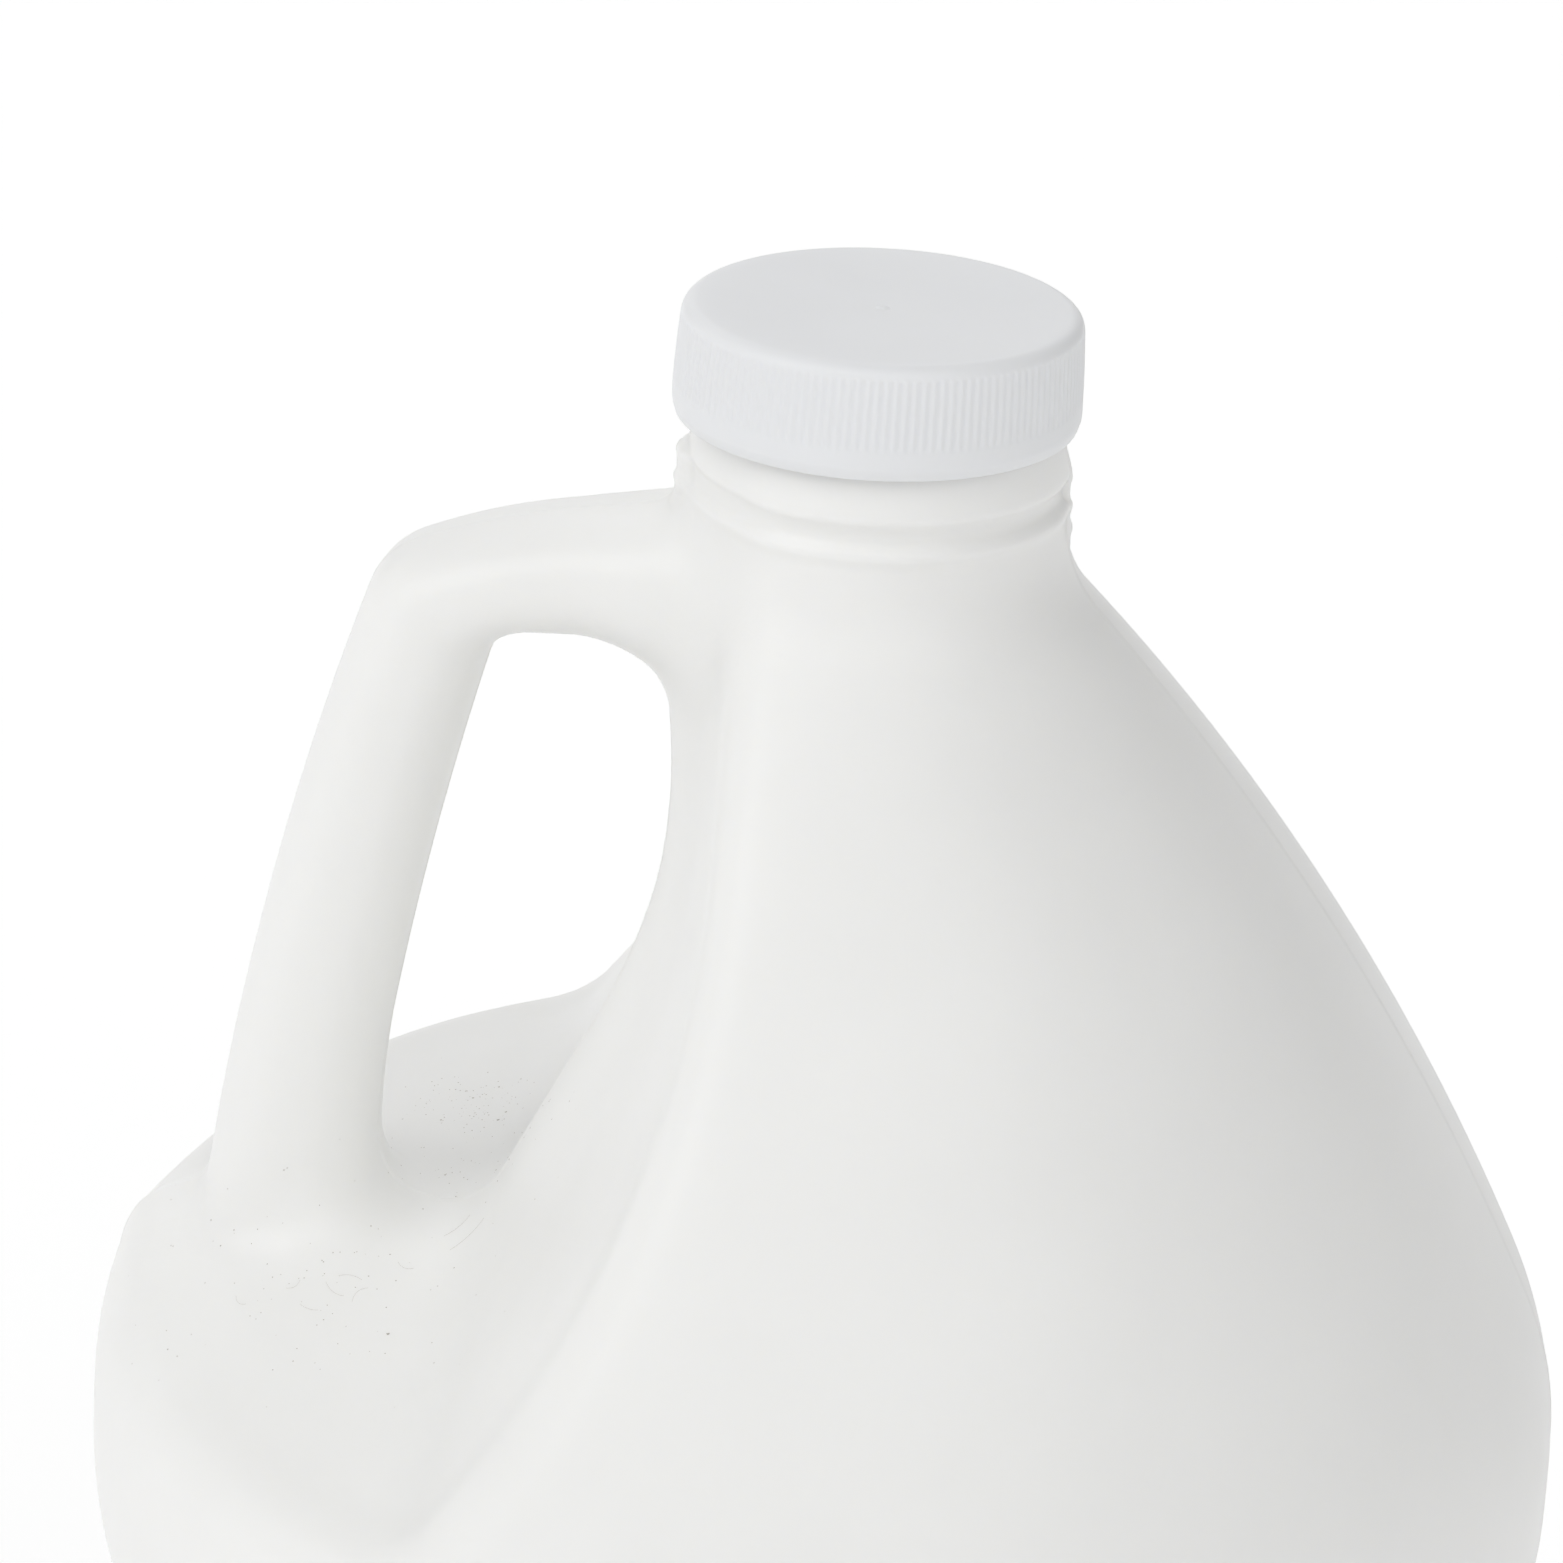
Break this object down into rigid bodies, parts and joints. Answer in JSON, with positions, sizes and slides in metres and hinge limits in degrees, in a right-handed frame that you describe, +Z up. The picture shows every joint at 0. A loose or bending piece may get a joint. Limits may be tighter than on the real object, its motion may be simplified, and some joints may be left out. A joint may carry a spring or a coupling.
{
  "type": "plastic jug",
  "caption": "Round white plastic jug with a moulded side handle, a recess behind it, a tapering shoulder and a ribbed screw cap.",
  "frame": {"origin": "middle of the base on the neck's axis, at the height of the ring that the jug stands on", "axes": "+Z up along the neck's axis, -X towards the handle, and the mould's parting plane is the XZ plane"},
  "size_m": [0.1568, 0.1568, 0.301],
  "materials": {
    "jug_plastic": "satin natural white polyethylene",
    "cap_plastic": "satin white polypropylene"
  },
  "bodies": {
    "root": {"jug": "jug_plastic", "cap": "cap_plastic"}
  },
  "joints": []
}
